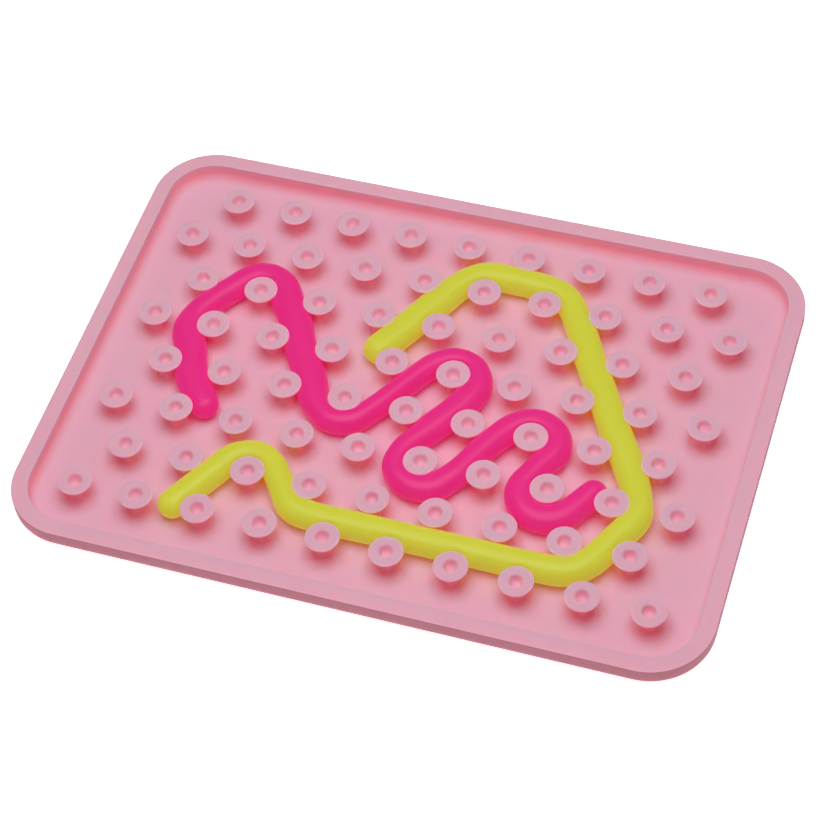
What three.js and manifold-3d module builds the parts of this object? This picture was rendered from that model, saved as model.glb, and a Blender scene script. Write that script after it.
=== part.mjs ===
// A soft peg mat with two stretchy strings: a shallow silicone tray whose floor carries staggered rows of
// short suction-cup pegs, and a magenta and a yellow string threaded between the pegs.
// Millimetres, +Z up. The origin is the centre of the underside, +X runs along the long side and -Y is the front.

import * as THREE from "three";
import { mergeVertices } from "three/addons/utils/BufferGeometryUtils.js";
import Module from "manifold-3d";

const wasm = await Module();
wasm.setup();

// ---- Driving dimensions -------------------------------------------------------------------------------------

// The tray
const MAT_LENGTH = 198;
const MAT_WIDTH = 144;
const CORNER_RADIUS = 18;
const RIM_WIDTH = 4.7;
const RIM_HEIGHT = 6.4;
const FLOOR_THICKNESS = 1;
const UNDERSIDE_ROUND = 2; // radius between the underside and the outer wall
const CORNER_FACETS = 10; // flats along each rounded corner
const ROUND_FACETS = 2; // flats across the underside round

// The pegs
const PITCH = 18; // between neighbouring pegs of one row
const ROW_PITCH = 15.5; // between rows
const PEGS_IN_ROW = [9, 10, 9, 10, 9, 10, 9, 10]; // from the back row to the front row
const STEM_DIAMETER = 5;
const STEM_HEIGHT = 3.4; // straight part, above the floor
const HEAD_DIAMETER = 9.7;
const PEG_HEIGHT = 6.8; // above the floor
const LIP_THICKNESS = 0.7; // the head's edge
const LIP_TAPER = 0.25; // how far the lip's lower edge is drawn in
const DIMPLE_DIAMETER = 4.2;
const DIMPLE_DEPTH = 2;
const DIMPLE_FLOOR_DIAMETER = 2.2;
const PEG_FACETS = 10;
const ROOT_DEPTH = FLOOR_THICKNESS / 2; // how far a peg is rooted in the floor strip

// The strings
const MAGENTA_WIDTH = 8.2;
const YELLOW_WIDTH = 8.8;
const STRING_FLATTENING = 0.92; // height over width: a soft string settles under its own weight and the heads
const STRING_FACETS = 10;
const STRING_STEPS = 78;
const TIP_RINGS = 6; // from pole to pole of a rounded tip
const REST_GAP = 0.2; // under a string
const PEG_GAP = 0.3; // between a string and the pegs that press it back

// Each string's centreline seen from above, [x, y], from one tip's centre to the other's.
const MAGENTA_ROUTE = [
  [-56.5, -18.5], [-63, -10.5], [-67, -1.5], [-70.5, 7], [-69, 14], [-63, 23.5], [-58.5, 29], [-54, 30.5],
  [-49.5, 28.5], [-45.5, 22.5], [-41, 16], [-36.5, 7.5], [-30.5, -2], [-25.5, -10.5], [-19.5, -14.5],
  [-14, -13], [-9.5, -7.5], [-3.5, 2.5], [2.5, 11.5], [8, 14.5], [13.5, 13], [16, 7.5], [14, 0], [7.5, -11],
  [2.5, -20], [2.5, -26], [7, -30], [13.5, -29.5], [19, -23.5], [25, -11.5], [30.5, -3.5], [36, -1],
  [41.5, -3.5], [43.5, -8.5], [40, -16.5], [37.5, -24], [40, -29.5], [45.5, -31.5], [51, -29], [57, -20],
];
const YELLOW_ROUTE = [
  [-14.5, 13], [-8.5, 24], [-3.5, 33.5], [2.5, 43], [7.5, 46.5], [16.5, 47], [27.5, 46], [32.5, 43.5],
  [38.5, 35], [44.5, 24], [51, 13], [57, 2.5], [63.5, -8], [69, -19], [70, -25], [66.5, -33], [61.5, -42],
  [56.5, -46], [47.5, -47], [34, -47], [12.5, -47], [-6, -47], [-14, -47], [-20.5, -45.5], [-25.5, -40],
  [-31, -33.5], [-36, -31.5], [-41.5, -33.5], [-46, -40.5], [-53, -53],
];

// ---- Worked-out sizes ---------------------------------------------------------------------------------------

const WELL_LENGTH = MAT_LENGTH - 2 * RIM_WIDTH;
const WELL_WIDTH = MAT_WIDTH - 2 * RIM_WIDTH;
const WELL_RADIUS = CORNER_RADIUS - RIM_WIDTH;
const CUT_MARGIN = 2; // how far a cutting solid runs past what it cuts
const FLATS_PER_SEGMENT = 2; // an arc in a THREE.Shape gets two flats for each of its curve segments

// ---- Geometry helpers ---------------------------------------------------------------------------------------

function solidFrom(geometry) {
  const bare = geometry.clone();
  bare.deleteAttribute("normal");
  bare.deleteAttribute("uv");
  const merged = mergeVertices(bare);
  return new wasm.Manifold(
    new wasm.Mesh({
      numProp: 3,
      vertProperties: merged.attributes.position.array,
      triVerts: new Uint32Array(merged.index.array),
    }),
  );
}

function geometryFrom(solid) {
  const mesh = solid.getMesh();
  const geometry = new THREE.BufferGeometry();
  geometry.setAttribute("position", new THREE.BufferAttribute(mesh.vertProperties, 3));
  geometry.setIndex(new THREE.BufferAttribute(mesh.triVerts, 1));
  geometry.computeVertexNormals();
  return geometry;
}

function joined(solids) {
  return solids.reduce((whole, solid) => whole.add(solid));
}

function roundedRectangle(length, width, radius) {
  const x = length / 2 - radius;
  const y = width / 2 - radius;
  const shape = new THREE.Shape();
  shape.absarc(x, y, radius, 0, Math.PI / 2);
  shape.absarc(-x, y, radius, Math.PI / 2, Math.PI);
  shape.absarc(-x, -y, radius, Math.PI, 1.5 * Math.PI);
  shape.absarc(x, -y, radius, 1.5 * Math.PI, 2 * Math.PI);
  return shape;
}

// A solid of revolution about +Z from a profile of [radius, height] pairs that starts and ends on the axis.
function turned(profile, facets) {
  const points = profile.map(([radius, height]) => new THREE.Vector2(radius, height));
  return new THREE.LatheGeometry(points, facets).rotateX(Math.PI / 2);
}

// ---- The tray -----------------------------------------------------------------------------------------------

// The flat-topped wall all round, rounded where it meets the underside.
function rimSolid() {
  const outline = roundedRectangle(
    MAT_LENGTH - 2 * UNDERSIDE_ROUND,
    MAT_WIDTH - 2 * UNDERSIDE_ROUND,
    CORNER_RADIUS - UNDERSIDE_ROUND,
  );
  const block = new THREE.ExtrudeGeometry(outline, {
    depth: RIM_HEIGHT,
    curveSegments: CORNER_FACETS / FLATS_PER_SEGMENT,
    bevelThickness: UNDERSIDE_ROUND,
    bevelSize: UNDERSIDE_ROUND,
    bevelSegments: ROUND_FACETS,
  }).translate(0, 0, UNDERSIDE_ROUND);
  const slab = new THREE.BoxGeometry(MAT_LENGTH + CUT_MARGIN, MAT_WIDTH + CUT_MARGIN, RIM_HEIGHT);
  slab.translate(0, 0, RIM_HEIGHT / 2);
  return solidFrom(block).intersect(solidFrom(slab)).subtract(wellSolid(RIM_HEIGHT + CUT_MARGIN, -CUT_MARGIN));
}

// The space inside the rim, from one height to another.
function wellSolid(top, bottom) {
  return solidFrom(
    new THREE.ExtrudeGeometry(roundedRectangle(WELL_LENGTH, WELL_WIDTH, WELL_RADIUS), {
      depth: top - bottom,
      curveSegments: CORNER_FACETS / FLATS_PER_SEGMENT,
      bevelEnabled: false,
    }).translate(0, 0, bottom),
  );
}

function rowY(row) {
  return ((PEGS_IN_ROW.length - 1) / 2 - row) * ROW_PITCH;
}

function pegCentres(row) {
  const count = PEGS_IN_ROW[row];
  return Array.from({ length: count }, (_, i) => [(i - (count - 1) / 2) * PITCH, rowY(row)]);
}

// The floor under one row of pegs; the first and last strips reach the rim.
function floorStrip(row) {
  const reach = WELL_WIDTH / 2 + CUT_MARGIN;
  const back = row === 0 ? reach : rowY(row) + ROW_PITCH / 2;
  const front = row === PEGS_IN_ROW.length - 1 ? -reach : rowY(row) - ROW_PITCH / 2;
  const band = new THREE.BoxGeometry(MAT_LENGTH, back - front, 2 * FLOOR_THICKNESS);
  return wellSolid(FLOOR_THICKNESS, 0).intersect(solidFrom(band.translate(0, (back + front) / 2, 0)));
}

// A stem that flares into a flat round head with a dimple in its face.
function pegSolid() {
  const stem = STEM_DIAMETER / 2;
  const head = HEAD_DIAMETER / 2;
  const profile = [
    [0, -ROOT_DEPTH],
    [stem, -ROOT_DEPTH],
    [stem, STEM_HEIGHT],
    [head - LIP_TAPER, PEG_HEIGHT - LIP_THICKNESS],
    [head, PEG_HEIGHT],
    [DIMPLE_DIAMETER / 2, PEG_HEIGHT],
    [DIMPLE_FLOOR_DIAMETER / 2, PEG_HEIGHT - DIMPLE_DEPTH],
    [0, PEG_HEIGHT - DIMPLE_DEPTH],
  ];
  return solidFrom(turned(profile, PEG_FACETS).translate(0, 0, FLOOR_THICKNESS));
}

const PEG = pegSolid();

function pegRowSolid(row) {
  return joined([floorStrip(row), ...pegCentres(row).map(([x, y]) => PEG.translate([x, y, 0]))]);
}

// ---- The strings --------------------------------------------------------------------------------------------

// The room that a peg keeps clear: its stem, the underside of its head, and everything above the head.
function pegRoom(stringTop) {
  const stem = STEM_DIAMETER / 2 + PEG_GAP;
  const head = HEAD_DIAMETER / 2 + PEG_GAP;
  const profile = [
    [0, 0],
    [stem, 0],
    [stem, FLOOR_THICKNESS + STEM_HEIGHT],
    [head, FLOOR_THICKNESS + PEG_HEIGHT - LIP_THICKNESS - PEG_GAP],
    [head, stringTop + CUT_MARGIN],
    [0, stringTop + CUT_MARGIN],
  ];
  return solidFrom(turned(profile, PEG_FACETS));
}

function tip(centre, direction, width, height) {
  const dome = new THREE.SphereGeometry(0.5, STRING_FACETS, TIP_RINGS);
  dome.scale(width, width, height);
  dome.rotateZ(Math.atan2(direction.y, direction.x));
  return solidFrom(dome.translate(centre.x, centre.y, centre.z));
}

// A string of oval section along its route, pressed back wherever it passes a peg.
function stringSolid(route, width) {
  const height = STRING_FLATTENING * width;
  const centreHeight = FLOOR_THICKNESS + REST_GAP + height / 2;
  const curve = new THREE.CatmullRomCurve3(route.map(([x, y]) => new THREE.Vector3(x, y, centreHeight)));
  const section = new THREE.Shape().absellipse(0, 0, height / 2, width / 2, 0, 2 * Math.PI);
  const tube = solidFrom(
    new THREE.ExtrudeGeometry(section, {
      steps: STRING_STEPS,
      curveSegments: STRING_FACETS / FLATS_PER_SEGMENT,
      extrudePath: curve,
    }),
  );
  const tips = [0, 1].map((end) => tip(curve.getPointAt(end), curve.getTangentAt(end), width, height));
  const room = pegRoom(FLOOR_THICKNESS + REST_GAP + height);
  const reach = width / 2 + HEAD_DIAMETER / 2 + PEG_GAP;
  const alongRoute = curve.getSpacedPoints(STRING_STEPS);
  const passed = PEGS_IN_ROW.flatMap((_, row) => pegCentres(row)).filter(([x, y]) =>
    alongRoute.some((point) => Math.hypot(point.x - x, point.y - y) < reach),
  );
  return joined([tube, ...tips]).subtract(joined(passed.map(([x, y]) => room.translate([x, y, 0]))));
}

// ---- The assembly -------------------------------------------------------------------------------------------

const silicone = { color: 0xe8a0b4, roughness: 0.6, metalness: 0 };
const magenta = { color: 0xe62a80, roughness: 0.4, metalness: 0 };
const yellow = { color: 0xd8d83a, roughness: 0.4, metalness: 0 };

function piece(name, solid, look) {
  const mesh = new THREE.Mesh(geometryFrom(solid), new THREE.MeshStandardMaterial(look));
  mesh.name = name;
  return mesh;
}

const mat = new THREE.Group();
mat.add(piece("rim", rimSolid(), silicone));
PEGS_IN_ROW.forEach((_, row) => mat.add(piece(`peg_row_${row + 1}`, pegRowSolid(row), silicone)));

const strings = new THREE.Group();
strings.add(piece("magenta_string", stringSolid(MAGENTA_ROUTE, MAGENTA_WIDTH), magenta));
strings.add(piece("yellow_string", stringSolid(YELLOW_ROUTE, YELLOW_WIDTH), yellow));

const toy = new THREE.Group();
toy.add(mat, strings);

export default toy;
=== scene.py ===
# %% [markdown]
# # A soft peg mat with two stretchy strings
# This lesson builds a calming desk toy: a shallow tray moulded in pink silicone, whose floor carries rows of
# short pegs with dimpled heads, and two stretchy strings that the hand weaves between the pegs.
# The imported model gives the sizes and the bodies, and everything made here lies in its space, in metres.

import math

import bmesh
import bpy
import numpy as np
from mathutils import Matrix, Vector
from mathutils.bvhtree import BVHTree


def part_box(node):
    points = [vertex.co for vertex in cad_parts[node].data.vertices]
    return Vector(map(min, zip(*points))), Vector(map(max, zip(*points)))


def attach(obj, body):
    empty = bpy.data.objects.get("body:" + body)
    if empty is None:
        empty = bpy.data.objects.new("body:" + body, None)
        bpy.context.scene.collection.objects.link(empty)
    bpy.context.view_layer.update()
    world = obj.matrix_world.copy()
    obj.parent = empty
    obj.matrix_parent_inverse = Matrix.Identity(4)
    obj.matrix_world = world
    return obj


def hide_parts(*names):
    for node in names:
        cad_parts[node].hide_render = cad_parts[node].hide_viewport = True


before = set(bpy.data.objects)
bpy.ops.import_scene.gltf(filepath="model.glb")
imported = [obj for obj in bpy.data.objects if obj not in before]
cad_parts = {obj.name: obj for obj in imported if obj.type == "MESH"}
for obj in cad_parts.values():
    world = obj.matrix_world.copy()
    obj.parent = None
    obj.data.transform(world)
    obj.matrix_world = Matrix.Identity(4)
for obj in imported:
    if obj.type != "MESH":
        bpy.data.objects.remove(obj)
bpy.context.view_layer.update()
MM = 0.001

# %% [markdown]
# ## The camera
# The toy is seen from the front and a little from the right, from about 53 degrees above the table. A long
# lens keeps the rows nearly parallel. The camera rolls slightly, so its turn is given as three angles.

# %% Set up the camera
camera_data = bpy.data.cameras.new("camera")
camera_data.sensor_width = 36
camera_data.lens = 107.354
camera = bpy.data.objects.new("camera", camera_data)
camera.location = (0.15548, -0.39117, 0.54999)
camera.rotation_euler = [math.radians(turn) for turn in (37.1527, 3.3844, 17.4152)]
bpy.context.scene.collection.objects.link(camera)
bpy.context.scene.camera = camera
print("camera stands", round(camera.location.length, 3), "m from the centre of the underside")

# %% [markdown]
# ## Where the pegs stand
# The pegs form a brick pattern: rows of nine and ten in turn, each row shifted by half a pitch. Both the
# strings and the tray need to know the places, so they are worked out once, in millimetres.

# %% Place the pegs
PITCH = 18.0
ROW_PITCH = 15.5
PEGS_IN_ROW = (9, 10, 9, 10, 9, 10, 9, 10)
peg_centres = np.array([
    ((i - (count - 1) / 2) * PITCH, ((len(PEGS_IN_ROW) - 1) / 2 - row) * ROW_PITCH)
    for row, count in enumerate(PEGS_IN_ROW)
    for i in range(count)
])
FLOOR = 1.0  # height of the tray's floor
PEG_HEIGHT = 6.8  # above the floor
HEAD_RADIUS = 4.85
STEM_RADIUS = 2.5
print(len(peg_centres), "pegs")

# %% [markdown]
# ## The strings' routes
# A stretchy string has no stiffness to speak of, so its route is given point by point, as fingers
# would lay it: round a peg, across a gap, round the next. A centripetal Catmull-Rom curve runs through the
# points without the loops and overshoots that a uniform one makes where points are close together.

# %% Lay the routes
MAGENTA_ROUTE = (
    (-56.5, -18.5), (-63, -10.5), (-67, -1.5), (-70.5, 7), (-69, 14), (-63, 23.5), (-58.5, 29), (-54, 30.5),
    (-49.5, 28.5), (-45.5, 22.5), (-41, 16), (-36.5, 7.5), (-30.5, -2), (-25.5, -10.5), (-19.5, -14.5),
    (-14, -13), (-9.5, -7.5), (-3.5, 2.5), (2.5, 11.5), (8, 14.5), (13.5, 13), (16, 7.5), (14, 0), (7.5, -11),
    (2.5, -20), (2.5, -26), (7, -30), (13.5, -29.5), (19, -23.5), (25, -11.5), (30.5, -3.5), (36, -1),
    (41.5, -3.5), (43.5, -8.5), (40, -16.5), (37.5, -24), (40, -29.5), (45.5, -31.5), (51, -29), (57, -20),
)
YELLOW_ROUTE = (
    (-14.5, 13), (-8.5, 24), (-3.5, 33.5), (2.5, 43), (7.5, 46.5), (16.5, 47), (27.5, 46), (32.5, 43.5),
    (38.5, 35), (44.5, 24), (51, 13), (57, 2.5), (63.5, -8), (69, -19), (70, -25), (66.5, -33), (61.5, -42),
    (56.5, -46), (47.5, -47), (34, -47), (12.5, -47), (-6, -47), (-14, -47), (-20.5, -45.5), (-25.5, -40),
    (-31, -33.5), (-36, -31.5), (-41.5, -33.5), (-46, -40.5), (-53, -53),
)


def curve_through(route, samples=40):
    """Points in mm along the centripetal curve through a route."""
    knots = np.array(route, float)
    knots = np.vstack([2 * knots[0] - knots[1], knots, 2 * knots[-1] - knots[-2]])
    t = np.linspace(0, 1, samples, endpoint=False)[:, None]
    points = []
    for p0, p1, p2, p3 in zip(knots, knots[1:], knots[2:], knots[3:]):
        d0, d1, d2 = (np.linalg.norm(step) ** 0.5 for step in (p1 - p0, p2 - p1, p3 - p2))
        start = d1 * ((p1 - p0) / d0 - (p2 - p0) / (d0 + d1) + (p2 - p1) / d1)
        end = d1 * ((p2 - p1) / d1 - (p3 - p1) / (d1 + d2) + (p3 - p2) / d2)
        cubic = 2 * p1 - 2 * p2 + start + end
        square = 3 * p2 - 3 * p1 - 2 * start - end
        points.append(p1 + start * t + square * t**2 + cubic * t**3)
    return np.vstack(points + [knots[-2:-1]])


def evenly(points, step):
    """The same line with points a step apart."""
    along = np.append(0, np.cumsum(np.linalg.norm(np.diff(points, axis=0), axis=1)))
    marks = np.linspace(0, along[-1], round(along[-1] / step) + 1)
    return np.column_stack([np.interp(marks, along, axis) for axis in points.T])


for name, route in (("magenta", MAGENTA_ROUTE), ("yellow", YELLOW_ROUTE)):
    laid = evenly(curve_through(route), 0.5)
    print(name, "route is", round(0.5 * (len(laid) - 1), 1), "mm between its tips' centres")

# %% [markdown]
# ## How a string meets a peg
# The string is softer than the peg. Where it is drawn against a stem, the head's thin lip bites into its
# flank, and the flank wells up above the lip. Carving it with a boolean would leave knife edges, so each
# point of the string is pushed outward from the peg's axis instead, with a soft limit that rounds the bite.

# %% Describe the room a peg takes
# The peg's radius at heights above the tray's underside, carried on above the head so that the bite closes
BITE_HEIGHTS = FLOOR + np.array([0, 0.5, 1.2, 3.2, 4.2, 5.1, 5.9, 6.3, 6.8, 7.1, 7.7, 8.6])
BITE_RADII = np.array([3.5, 2.8, 2.5, 2.5, 2.8, 3.5, 4.4, 4.8, 4.88, 4.8, 4.3, 3.2])
BITE_SOFTNESS = 0.22


def pressed_back(points):
    """Points in mm, moved out of every peg."""
    limit = np.interp(points[:, 2], BITE_HEIGHTS, BITE_RADII)
    for centre in peg_centres:
        away = points[:, :2] - centre
        reach = np.linalg.norm(away, axis=1)
        near = reach < HEAD_RADIUS + 2
        depth = (reach[near] - limit[near]) / BITE_SOFTNESS
        kept = limit[near] + BITE_SOFTNESS * np.logaddexp(0, depth)
        points[near, :2] = centre + away[near] * (kept / np.maximum(reach[near], 1e-6))[:, None]
    return points


# %% [markdown]
# ## The strings' bodies
# Each string is one skin of rings swept along its route, closed by a rounded tip at both ends. The rings are
# a little flat, because the string settles under its own weight. They swell where it turns, and slow random
# waves stop it from looking extruded. A soft string is also thick where it lies slack and thin where it is
# drawn, so each one has a short list of such stretches.

# %% Sweep a string
RING_POINTS = 48
RING_STEP = 0.75  # mm between rings
TIP_RINGS = 9
EASE = 8  # mm over which a string's thickness changes
TURN_WINDOW = 15  # rings over which the turning is averaged
STRAIGHT_SHARE = 0.955  # of the full width, where a string runs straight
TURN_SWELL = 0.075  # added to that share where it turns fully
FULL_TURNING = 0.12  # radians in a mm
WAVE_SWELL = 0.012
WAVE_LENGTHS = (61, 37, 23)  # mm
FULLNESS = 0.94  # below 1, a ring is slightly fuller than an ellipse
FLOOR_GAP = 0.03  # mm between a string and the floor


def slow_waves(along, wavelengths, seed):
    """A smooth random line from -1 to 1."""
    random = np.random.default_rng(seed)
    waves = [np.sin(2 * math.pi * (along / length + random.random())) for length in wavelengths]
    return sum(waves) / len(waves)


def string_rings(route, width, height, seed, stretches):
    """The rings' centres, sideways directions and half sizes along a route, tips included."""
    centres = evenly(curve_through(route), RING_STEP)
    ahead = np.gradient(centres, axis=0)
    ahead /= np.linalg.norm(ahead, axis=1)[:, None]
    heading = np.unwrap(np.arctan2(ahead[:, 1], ahead[:, 0]))
    turning = np.abs(np.gradient(heading)) / RING_STEP
    window = np.hanning(TURN_WINDOW) / np.hanning(TURN_WINDOW).sum()
    turning = np.convolve(np.pad(turning, TURN_WINDOW // 2, mode="edge"), window, mode="valid")
    along = RING_STEP * np.arange(len(centres))
    swell = STRAIGHT_SHARE + TURN_SWELL * np.clip(turning / FULL_TURNING, 0, 1)
    swell = swell + WAVE_SWELL * slow_waves(along, WAVE_LENGTHS, seed)
    half_width = 0.5 * width * swell
    for first, last, gain in stretches:
        half_width += gain * np.interp(along, (first - EASE, first, last, last + EASE), (0, 1, 1, 0))
    angles = np.linspace(math.pi / 2, 0, TIP_RINGS, endpoint=False)[::-1]
    start = centres[0] - ahead[0] * half_width[0] * np.sin(angles)[::-1, None]
    end = centres[-1] + ahead[-1] * half_width[-1] * np.sin(angles)[:, None]
    centres = np.vstack([start, centres, end])
    ahead = np.vstack([np.repeat(ahead[:1], TIP_RINGS, 0), ahead, np.repeat(ahead[-1:], TIP_RINGS, 0)])
    round_off = np.concatenate([np.cos(angles)[::-1], np.ones(len(along)), np.cos(angles)])
    half_width = np.pad(half_width, TIP_RINGS, mode="edge")
    sideways = np.column_stack([-ahead[:, 1], ahead[:, 0]])
    return centres, sideways, half_width * round_off, 0.5 * height * round_off


def string_skin(name, route, width, height, seed, stretches):
    """The string's mesh object and the points in metres that it follows."""
    centres, sideways, half_width, half_height = string_rings(route, width, height, seed, stretches)
    turn = np.linspace(0, 2 * math.pi, RING_POINTS, endpoint=False)
    across = np.sign(np.cos(turn)) * np.abs(np.cos(turn)) ** FULLNESS
    upward = np.sign(np.sin(turn)) * np.abs(np.sin(turn)) ** FULLNESS
    middle = FLOOR + FLOOR_GAP + height / 2
    flat = centres[:, None] + sideways[:, None] * (half_width[:, None] * across)[:, :, None]
    rise = middle + half_height[:, None] * upward
    points = np.dstack([flat, rise]).reshape(-1, 3)
    points = pressed_back(points)
    rings = len(centres)
    loops = np.arange(rings * RING_POINTS).reshape(rings, RING_POINTS)
    after = np.roll(loops, -1, axis=1)
    faces = np.stack([loops[:-1], after[:-1], after[1:], loops[1:]], axis=-1).reshape(-1, 4).tolist()
    faces += [loops[0][::-1].tolist(), loops[-1].tolist()]
    mesh = bpy.data.meshes.new(name)
    mesh.from_pydata((points * MM).tolist(), [], faces)
    mesh.update()
    mesh.shade_smooth()
    string = bpy.data.objects.new(name, mesh)
    bpy.context.scene.collection.objects.link(string)
    path = np.column_stack([centres, np.full(rings, middle)]) * MM
    return string, path


def path_length(path):
    return float(np.linalg.norm(np.diff(path, axis=0), axis=1).sum())


# %% [markdown]
# ## Marks of the mould
# The mould's pins leave two small dished rings on top of the magenta string, near its tip. A ray cast from
# above finds the skin at each place, and a little turned form is set there, pressed slightly into the string.

# %% Press the marks in
MARK_SIDES = 20
RAY_START = 0.02  # m, well above the strings
# Radius, and height over the string's skin, in mm
MARK_SECTION = (
    (0.95, -0.4), (1.0, -0.12), (0.9, 0.08), (0.75, 0.2), (0.6, 0.2), (0.46, 0.05), (0.3, -0.12),
    (0.1, -0.15),
)
TIP_MARKS = ((-56.7, -19.2), (-57.5, -16.5))


def add_marks(string, places):
    """Small raised rings that the mould's pins leave, pressed a little into the string's top."""
    marked = bmesh.new()
    marked.from_mesh(string.data)
    surface = BVHTree.FromBMesh(marked)
    turns = np.linspace(0, 2 * math.pi, MARK_SIDES, endpoint=False)
    for x, y in places:
        hit, normal = surface.ray_cast(Vector((x * MM, y * MM, RAY_START)), Vector((0, 0, -1)))[:2]
        across = normal.orthogonal().normalized()
        along = normal.cross(across)
        rings = [
            [
                marked.verts.new(
                    hit + (across * math.cos(t) + along * math.sin(t)) * radius * MM + normal * rise * MM
                )
                for t in turns
            ]
            for radius, rise in MARK_SECTION
        ]
        for outer, inner in zip(rings, rings[1:]):
            for i in range(MARK_SIDES):
                j = (i + 1) % MARK_SIDES
                marked.faces.new((outer[i], outer[j], inner[j], inner[i]))
        marked.faces.new(rings[0][::-1])
        marked.faces.new(rings[-1])
    for face in marked.faces:
        face.smooth = True
    marked.to_mesh(string.data)
    marked.free()


# %% [markdown]
# Both strings lie free, so each rides on a body of its own: in the imported model a string can be lifted out of
# the tray. Each has its own seed for the random waves, so that the two don't match.

# %% Make both strings
# Where a string lies slack and thick, or is drawn thin: from and to in mm along it, and what its half width
# gains there
MAGENTA_STRETCHES = ((5, 25, 0.8), (70, 105, 0.8), (120, 165, -0.5), (175, 190, 0.5), (200, 215, -0.4))
YELLOW_STRETCHES = ((0, 25, 0.6), (80, 130, 0.35), (260, 275, -0.35))
# Colour, route, width, height, seed and stretches
STRINGS = (
    ("magenta", MAGENTA_ROUTE, 8.2, 7.3, 3, MAGENTA_STRETCHES),
    ("yellow", YELLOW_ROUTE, 8.5, 7.6, 8, YELLOW_STRETCHES),
)
string_pieces = {}
for colour, route, width, height, seed, stretches in STRINGS:
    string, path = string_skin(f"{colour}_stretchy_string", route, width, height, seed, stretches)
    if colour == "magenta":
        add_marks(string, TIP_MARKS)
    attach(string, f"{colour}_string")
    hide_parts(f"{colour}_string")
    length = path_length(path)
    string_pieces[colour] = string
    print(colour, "string is", round(length / MM), "mm long")

# %% [markdown]
# ## The tray's skin
# The real tray is one moulding: its rim, floor and pegs run into each other with small rounds, as a mould
# is easier to fill and to empty without sharp corners. It is built as one mesh for the same reason. Loops of
# a rounded rectangle, each with its own inset and height, carry the wall over the rim and down to the floor.

# %% Loop a rounded rectangle round the tray
HALF_LENGTH, HALF_WIDTH, RIM_HEIGHT = np.array(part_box("rim")[1]) / MM
CORNER_RADIUS = 18.0
RIM_WIDTH = 4.7
CORNER_STEPS = 20
EDGE_STEPS = (24, 18)  # along a long side and a short side


def rounded_loop(inset, height):
    """One closed loop of points round the tray, anticlockwise from above."""
    radius = CORNER_RADIUS - inset
    corner_x = HALF_LENGTH - CORNER_RADIUS
    corner_y = HALF_WIDTH - CORNER_RADIUS
    corners = ((corner_x, corner_y), (-corner_x, corner_y), (-corner_x, -corner_y), (corner_x, -corner_y))
    points = []
    for quarter, (x, y) in enumerate(corners):
        angles = math.pi / 2 * (quarter + np.linspace(0, 1, CORNER_STEPS + 1))
        arc = np.column_stack([x + radius * np.cos(angles), y + radius * np.sin(angles)])
        x2, y2 = corners[(quarter + 1) % 4]
        angle = math.pi / 2 * (quarter + 1)
        ahead = (x2 + radius * math.cos(angle), y2 + radius * math.sin(angle))
        steps = EDGE_STEPS[quarter % 2]
        share = np.linspace(0, 1, steps, endpoint=False)[1:, None]
        points += [arc, arc[-1] * (1 - share) + np.array(ahead) * share]
    flat = np.vstack(points)
    return np.column_stack([flat, np.full(len(flat), height)])


print("tray is", 2 * HALF_LENGTH, "by", 2 * HALF_WIDTH, "by", RIM_HEIGHT, "mm")

# %% [markdown]
# ## The wall's section
# From the underside the section turns up through a round, climbs the outer wall, crosses the flat top with a
# small round at each edge, and drops down the inner wall to a fillet at the floor.

# %% List the wall's section
UNDER_ROUND = 2.8
UNDER_MARGIN = 0.5  # flat underside inside the round
TOP_ROUND = 0.35
INNER_ROUND = 0.2
FLOOR_FILLET = 2.6
FLOOR_MARGIN = 0.25  # flat floor inside the fillet, which keeps the floor's shading even
UNDER_POINTS = 8
EDGE_POINTS = 6
FILLET_POINTS = 12
wall_section = [(UNDER_ROUND + UNDER_MARGIN, 0.0)]
wall_section += [
    (UNDER_ROUND - UNDER_ROUND * math.sin(a), UNDER_ROUND - UNDER_ROUND * math.cos(a))
    for a in np.linspace(0, math.pi / 2, UNDER_POINTS)
]
SIDE_RINGS = len(wall_section)  # the outer wall's share of the loops
wall_section += [
    (TOP_ROUND - TOP_ROUND * math.cos(a), RIM_HEIGHT - TOP_ROUND + TOP_ROUND * math.sin(a))
    for a in np.linspace(0, math.pi / 2, EDGE_POINTS)
]
wall_section += [
    (
        RIM_WIDTH - INNER_ROUND + INNER_ROUND * math.sin(a),
        RIM_HEIGHT - INNER_ROUND + INNER_ROUND * math.cos(a),
    )
    for a in np.linspace(0, math.pi / 2, EDGE_POINTS)
]
TOP_RINGS = len(wall_section)  # the rest lie on the inner wall
wall_section += [
    (RIM_WIDTH + FLOOR_FILLET - FLOOR_FILLET * math.cos(a), FLOOR + FLOOR_FILLET - FLOOR_FILLET * math.sin(a))
    for a in np.linspace(0, math.pi / 2, FILLET_POINTS)
]
wall_section.append((RIM_WIDTH + FLOOR_FILLET + FLOOR_MARGIN, FLOOR))
print("wall section has", len(wall_section), "points")

# %% [markdown]
# ## A peg's section
# A peg is a tiny suction cup on a stem: a fillet at the floor, a straight stem, an underside that flares out
# to a thin rounded lip, a flat face, and a soft-edged dimple in its middle. Each pair below is a ring's
# radius and its height above the floor.

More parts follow.
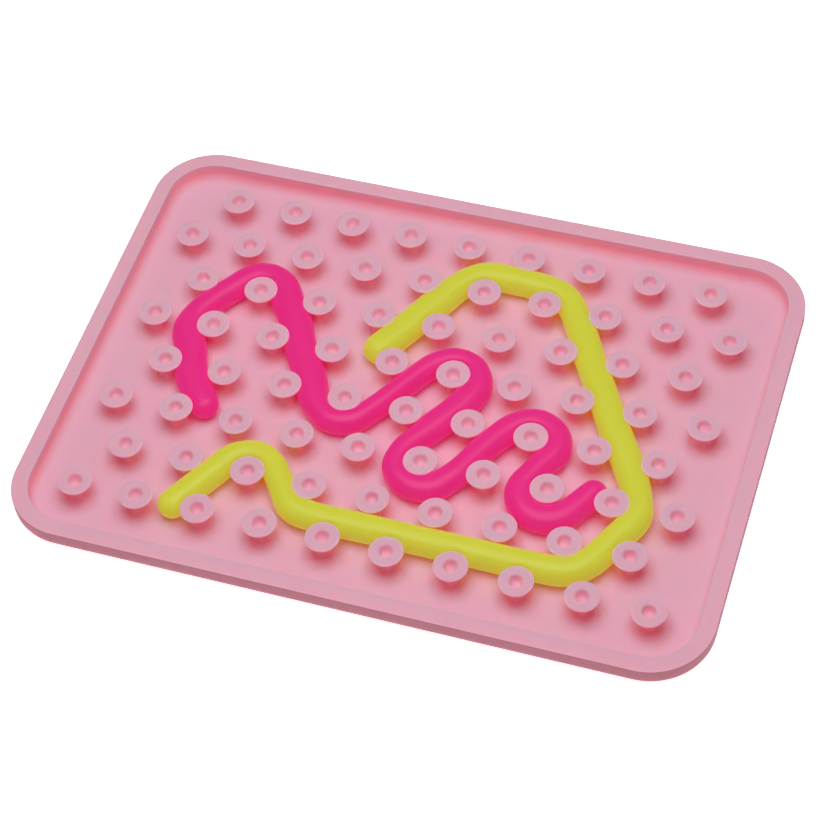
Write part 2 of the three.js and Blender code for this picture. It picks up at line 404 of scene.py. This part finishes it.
# %% List a peg's section
DIMPLE_RADIUS = 1.95
FACE_HEIGHT = 6.77  # where the dimple starts
stem_rings = [
    (5.4, 0.0), (4.6, 0.0), (4.0, 0.0), (3.5, 0.0), (3.1, 0.1), (2.8, 0.32), (2.6, 0.65), (STEM_RADIUS, 1.1),
    (STEM_RADIUS, 2.2), (2.52, 3.2), (2.62, 3.75), (2.86, 4.3), (3.25, 4.85), (3.75, 5.35), (4.25, 5.72),
    (4.6, 5.98),
]
lip_rings = [(4.78, 6.12), (HEAD_RADIUS, 6.26), (4.83, 6.42), (4.74, 6.58), (4.58, 6.71)]
face_rings = [(4.36, 6.78), (4.1, PEG_HEIGHT), (3.3, 6.79), (2.5, FACE_HEIGHT)]
dimple_rings = [
    (DIMPLE_RADIUS * across, FACE_HEIGHT - sunk)
    for across, sunk in (
        (1.12, 0.04), (1.02, 0.16), (0.94, 0.42), (0.86, 0.85), (0.77, 1.35), (0.65, 1.8), (0.48, 2.08),
        (0.27, 2.22), (0.1, 2.25),
    )
]
peg_section = stem_rings + lip_rings + face_rings + dimple_rings
PEG_SIDES = 32
peg_angles = np.linspace(0, 2 * math.pi, PEG_SIDES, endpoint=False)
print("a peg has", len(peg_section), "rings of", PEG_SIDES, "points")

# %% [markdown]
# ## Painted light and shade on the silicone
# Scattering makes thick silicone deeper and redder and a thin lip paler, but too weakly on such small shapes,
# so light and shade are painted on as well. Each ring of the mesh carries a tone: what the red, green and blue
# of its colour are multiplied by, and how much painted red glow it adds. It paints shade at the pegs' feet,
# under their heads, down the dimples, on the tray's outer side and at the inner wall's top, and it paints
# light on the heads' lips. The material reads it as an attribute.

# %% Give every ring its painted light and shade
PLAIN = (1.0, 1.0, 1.0, 0.0)
# Painted shade under the heads: the upper stem and the lip's underside lose green and blue and glow red
STEM_PAINTED_SHADE = (1.0, 0.65, 0.69, 0.09)
# Painted light on the heads' lips, palest on the upper part of their round, each with a little red glow
LIP_PAINTED_LIGHT = (1.0, 1.04, 1.02, 0.12)
PALE_LIP_PAINTED_LIGHT = (1.0, 1.25, 1.2, 0.14)
LIP_EDGE_PAINTED_LIGHT = (1.0, 1.1, 1.08, 0.05)
# Painted shade up a peg's foot: what is kept of green and blue, from the floor up
FOOT_PAINTED_SHADE = (1.0, 0.97, 0.93, 0.9, 0.89, 0.87, 0.86, 0.84, 0.82, 0.78)
# Painted red glow at the foot, for each part of green and blue lost
FOOT_PAINTED_GLOW = 0.35
DIMPLE_PAINTED_SHADE = (0.012, 0.01, 0.005)  # painted shade: green and blue lost, red glow gained, ring by ring down the dimple
# Painted shade all round the tray's outer side
SIDE_PAINTED_SHADE = (0.485, 0.38, 0.378, 0.0)
SIDE_PAINTED_SHADE_RINGS = SIDE_RINGS + 3  # the painted shade ends on the round at the top, and doesn't fade across the rim
INNER_SHADE = 0.25  # painted shade: green and blue lost at the inner wall's top
INNER_PAINTED_GLOW = 0.5  # painted red glow for each part of painted shade
peg_painted_shading = [(1.0, share, share, FOOT_PAINTED_GLOW * (1 - share)) for share in FOOT_PAINTED_SHADE]
peg_painted_shading += [STEM_PAINTED_SHADE] * (len(stem_rings) - len(FOOT_PAINTED_SHADE))
peg_painted_shading += [LIP_PAINTED_LIGHT] * 2 + [PALE_LIP_PAINTED_LIGHT] * 2 + [LIP_EDGE_PAINTED_LIGHT]
peg_painted_shading += [PLAIN] * len(face_rings)
peg_painted_shading += [
    (1.0, 1.0 - DIMPLE_PAINTED_SHADE[0] * step, 1.0 - DIMPLE_PAINTED_SHADE[1] * step, DIMPLE_PAINTED_SHADE[2] * step)
    for step in range(1, len(dimple_rings) + 1)
]


def wall_painted_shading(number, height):
    """Painted shade for the outer side, none for the top, and painted shade deepening up the inner wall."""
    if number < SIDE_PAINTED_SHADE_RINGS:
        return SIDE_PAINTED_SHADE
    if number < TOP_RINGS:
        return PLAIN
    shade = INNER_SHADE * max(0.0, (height - FLOOR) / (RIM_HEIGHT - FLOOR))
    return (1.0, 1.0 - shade, 1.0 - shade, INNER_PAINTED_GLOW * shade)


print(len(peg_painted_shading), "tones for", len(peg_section), "rings of a peg")

# %% [markdown]
# ## Join wall, floor and pegs
# The wall and the pegs are grids of quads between neighbouring loops. The floor is what lies between the
# wall's last loop and the pegs' first ones: a flat face with holes, which a triangle fill closes.

# %% Build the tray
skin = bmesh.new()
# Every corner carries its painted light and shade, which the material reads as an attribute
painted_shading_layer = skin.verts.layers.float_color.new("tone")


def add_loop(points, tone):
    loop = [skin.verts.new(point) for point in np.asarray(points) * MM]
    for corner in loop:
        corner[painted_shading_layer] = tone
    return loop


def bridge(first, second):
    """Quads between two loops with as many points each."""
    count = len(first)
    for i in range(count):
        j = (i + 1) % count
        skin.faces.new((first[i], first[j], second[j], second[i]))


def edges_of(loop):
    found = []
    for first, second in zip(loop, loop[1:] + loop[:1]):
        found.append(skin.edges.get((first, second)))
    return found


wall_loops = [
    add_loop(rounded_loop(inset, height), wall_painted_shading(number, height))
    for number, (inset, height) in enumerate(wall_section)
]
for lower, upper in zip(wall_loops, wall_loops[1:]):
    bridge(lower, upper)
skin.faces.new(wall_loops[0][::-1])

floor_edges = edges_of(wall_loops[-1])
for x, y in peg_centres:
    rings = []
    for (radius, height), tone in zip(peg_section, peg_painted_shading):
        ring = np.column_stack([
            x + radius * np.cos(peg_angles),
            y + radius * np.sin(peg_angles),
            np.full(PEG_SIDES, FLOOR + height),
        ])
        rings.append(add_loop(ring, tone))
    for outer, inner in zip(rings, rings[1:]):
        bridge(outer, inner)
    skin.faces.new(rings[-1])
    floor_edges += edges_of(rings[0])
filled = bmesh.ops.triangle_fill(skin, use_beauty=True, edges=floor_edges, normal=(0, 0, 1))
for face in skin.faces:
    face.smooth = True
bmesh.ops.recalc_face_normals(skin, faces=skin.faces)
tray_mesh = bpy.data.meshes.new("silicone_peg_mat")
skin.to_mesh(tray_mesh)
skin.free()
tray = bpy.data.objects.new("silicone_peg_mat", tray_mesh)
bpy.context.scene.collection.objects.link(tray)
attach(tray, "mat")
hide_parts("rim", *[f"peg_row_{row + 1}" for row in range(len(PEGS_IN_ROW))])
print("tray has", len(tray_mesh.polygons), "faces, of which", len(filled["geom"]), "parts fill the floor")

# %% [markdown]
# ## Shader sums in Python
# A finish often needs a little maths, such as a mask times a colour's strength. Here a socket is wrapped so
# that `1 - mask` or `noise * 0.2 + 0.5` adds the Math nodes itself, and one method makes any other node.

# %% Wrap sockets and nodes


class Signal:
    """A number that varies over a surface. Sums with it add Math nodes."""

    def __init__(self, finish, socket):
        self.finish = finish
        self.socket = socket

    def __add__(self, other):
        return self.finish.sum("ADD", self, other)

    def __sub__(self, other):
        return self.finish.sum("SUBTRACT", self, other)

    def __mul__(self, other):
        return self.finish.sum("MULTIPLY", self, other)

    def __rsub__(self, other):
        return self.finish.sum("SUBTRACT", other, self)

    __radd__ = __add__
    __rmul__ = __mul__


class Finish:
    """A material and its nodes."""

    def __init__(self, name, **surface):
        self.material = bpy.data.materials.new(name)
        self.material.use_nodes = True
        self.tree = self.material.node_tree
        self.surface = self.tree.nodes["Principled BSDF"]
        for socket, value in surface.items():
            self.surface.inputs[socket.replace("_", " ")].default_value = value

    def node(self, kind, settings=None, inputs=None, output=0):
        """A new node's output. Settings come first, then values or links go to its sockets."""
        node = self.tree.nodes.new(kind)
        for name, value in (settings or {}).items():
            setattr(node, name, value)
        for name, value in (inputs or {}).items():
            if isinstance(value, Signal):
                self.tree.links.new(value.socket, node.inputs[name])
            else:
                node.inputs[name].default_value = value
        return Signal(self, node.outputs[output])

    def sum(self, operation, *values):
        return self.node("ShaderNodeMath", {"operation": operation}, dict(enumerate(values)))

    def feed(self, socket, signal):
        self.tree.links.new(signal.socket, self.surface.inputs[socket])

    def dress(self, piece):
        piece.data.materials.clear()
        piece.data.materials.append(self.material)


print("sums and nodes are ready")

# %% [markdown]
# ## Pink silicone
# Moulded silicone is matt and a little waxy: light sinks in, turns pinker and comes out again, so shadows
# between the pegs glow red instead of going grey. Subsurface scattering does most of that, and painted shade
# and a painted red glow add the rest. The mould leaves a fine bloom on the skin, so the roughness wanders
# slightly and a faint grain bumps it. Its shine is kept low, as a bright rim on every small edge would look
# like hard plastic.

# %% Make the silicone
silicone = Finish(
    "pink_silicone",
    Roughness=0.7,
    Subsurface_Weight=0.9,
    Subsurface_Scale=0.005,
    Subsurface_Radius=(1.0, 0.1, 0.14),
    Emission_Strength=1.0,
    IOR=1.41,
    Specular_IOR_Level=0.06,
)
place = silicone.node("ShaderNodeTexCoord", output=3)
cloud = silicone.node("ShaderNodeTexNoise", {}, {"Vector": place, "Scale": 28.0, "Detail": 3.0})
grain = silicone.node("ShaderNodeTexNoise", {}, {"Vector": place, "Scale": 2600.0, "Detail": 2.0})
tint = silicone.node(
    "ShaderNodeMix",
    {"data_type": "RGBA"},
    {0: cloud, 6: (0.985, 0.53, 0.655, 1.0), 7: (0.99, 0.56, 0.685, 1.0)},
    output=2,
)
# Painted light and shade: the attribute's colour multiplies the pink
tone = silicone.node("ShaderNodeAttribute", {"attribute_name": "tone"}, output=0)
tint_with_painted_shading = silicone.node(
    "ShaderNodeMix", {"data_type": "RGBA", "blend_type": "MULTIPLY"}, {0: 1.0, 6: tint, 7: tone}, output=2
)
silicone.feed("Base Color", tint_with_painted_shading)
# Painted red glow: faint all over, stronger where the attribute's fourth value paints shade or light
painted_glow = silicone.node("ShaderNodeAttribute", {"attribute_name": "tone"}, output=3)
painted_red_glow = silicone.node(
    "ShaderNodeMix",
    {"data_type": "RGBA"},
    {0: painted_glow, 6: (0.01, 0.0, 0.0, 1.0), 7: (1.0, 0.0, 0.0, 1.0)},
    output=2,
)
silicone.feed("Emission Color", painted_red_glow)
silicone.feed("Roughness", 0.62 + cloud * 0.1 + grain * 0.06)
bump = silicone.node("ShaderNodeBump", {}, {"Height": grain, "Strength": 0.12, "Distance": 0.00004})
silicone.feed("Normal", bump)
silicone.dress(tray)
print("silicone dresses", tray.name)

# %% [markdown]
# ## Stretchy gel
# The strings are a very soft elastomer, dyed right through. Light passes the whole way through their thin
# edges, which brighten with it, and a painted glow, the same all over, lifts their shaded sides. Their skin has
# a soft gloss, broken by faint flow marks.

# %% Make the gels


def gel(name, colour, deeper, radius, painted_glow, painted_glow_strength):
    """A dyed elastomer: two close tints, a scattering radius for each of red, green and blue, and painted glow.
    """
    finish = Finish(
        name,
        Roughness=0.4,
        Subsurface_Weight=1.0,
        Subsurface_Scale=0.01,
        Subsurface_Radius=radius,
        IOR=1.45,
        Specular_IOR_Level=0.3,
        Emission_Color=painted_glow,
        Emission_Strength=painted_glow_strength,
    )
    place = finish.node("ShaderNodeTexCoord", output=3)
    flow = finish.node("ShaderNodeTexNoise", {}, {"Vector": place, "Scale": 55.0, "Detail": 3.0})
    grain = finish.node("ShaderNodeTexNoise", {}, {"Vector": place, "Scale": 900.0, "Detail": 2.0})
    tint = finish.node("ShaderNodeMix", {"data_type": "RGBA"}, {0: flow, 6: deeper, 7: colour}, output=2)
    finish.feed("Base Color", tint)
    finish.feed("Roughness", 0.27 + flow * 0.08 + grain * 0.05)
    height = flow * 0.7 + grain * 0.3
    bump = finish.node("ShaderNodeBump", {}, {"Height": height, "Strength": 0.2, "Distance": 0.0001})
    finish.feed("Normal", bump)
    return finish


# The last two values are each gel's painted glow: its colour and its strength
magenta_gel = gel("magenta_gel", (0.79, 0.02, 0.21, 1.0), (0.77, 0.016, 0.195, 1.0), (1.0, 0.15, 0.35),
                  (1.0, 0.06, 0.45, 1.0), 0.2)
yellow_gel = gel("yellow_gel", (0.50, 0.52, 0.04, 1.0), (0.49, 0.51, 0.035, 1.0), (1.0, 1.0, 0.15),
                 (1.0, 1.0, 0.1, 1.0), 0.24)
magenta_gel.dress(string_pieces["magenta"])
yellow_gel.dress(string_pieces["yellow"])
print("gels dress", [piece.name for piece in string_pieces.values()])

# %% [markdown]
# ## The table
# The toy lies on a plain white sheet that is no part of it. A single large plane is enough, just below the
# tray so that the two faces don't fight. The sheet glows a little, which keeps it pure white. It glows less
# under the tray, where light would come up through the thin floor and turn it red.

# %% Lay the sheet
sheet_mesh = bpy.data.meshes.new("white_sheet")
SHEET_HALF = 3.0
SHEET_DROP = 0.0002
COVERED_X = 0.096  # half the covered part's length, a little inside the tray's underside
COVERED_Y = 0.069
COVERED_CORNER = 0.1555  # the sum of both at which the covered part's corners are cut off
sheet_mesh.from_pydata(
    [(x * SHEET_HALF, y * SHEET_HALF, -SHEET_DROP) for x, y in ((-1, -1), (1, -1), (1, 1), (-1, 1))],
    [],
    [(0, 1, 2, 3)],
)
white_sheet = bpy.data.objects.new("white_sheet", sheet_mesh)
bpy.context.scene.collection.objects.link(white_sheet)
paper = Finish(
    "white_paper",
    Roughness=0.8,
    Base_Color=(0.96, 0.96, 0.96, 1.0),
    Specular_IOR_Level=0.1,
    Emission_Strength=0.8,
)
place = paper.node("ShaderNodeTexCoord", output=3)
across, along = (
    paper.sum("ABSOLUTE", paper.node("ShaderNodeSeparateXYZ", {}, {0: place}, axis)) for axis in (0, 1)
)
covered = (
    paper.sum("LESS_THAN", across, COVERED_X)
    * paper.sum("LESS_THAN", along, COVERED_Y)
    * paper.sum("LESS_THAN", across + along, COVERED_CORNER)
)
paper_glow = paper.node(
    "ShaderNodeMix",
    {"data_type": "RGBA"},
    {0: covered, 6: (1.0, 1.0, 1.0, 1.0), 7: (0.43, 0.43, 0.43, 1.0)},
    output=2,
)
paper.feed("Emission Color", paper_glow)
paper.dress(white_sheet)
print("sheet is", 2 * SHEET_HALF, "m wide")

# %% [markdown]
# ## The light
# One broad soft lamp hangs close above the toy, so the pegs' soft shadows lean outward from the middle, and a
# dim pale world fills them from all round.

# %% Hang the lamp


def lamp(name, place, size, power):
    """A square lamp of that width in m and power in W, which faces the middle of the toy."""
    data = bpy.data.lights.new(name, "AREA")
    data.shape = "SQUARE"
    data.size = size
    data.energy = power
    light = bpy.data.objects.new(name, data)
    light.location = place
    light.rotation_euler = (-Vector(place)).to_track_quat("-Z", "Y").to_euler()
    bpy.context.scene.collection.objects.link(light)


lamp("top_softbox", (0.008, -0.02, 0.55), 0.5, 2.21)
world = bpy.data.worlds.new("tent")
bpy.context.scene.world = world
world.use_nodes = True
world.node_tree.nodes["Background"].inputs["Color"].default_value = (1.0, 1.0, 1.0, 1.0)
world.node_tree.nodes["Background"].inputs["Strength"].default_value = 0.12
bpy.context.scene.view_settings.view_transform = "Standard"
print("lights:", [light.name for light in bpy.data.lights])
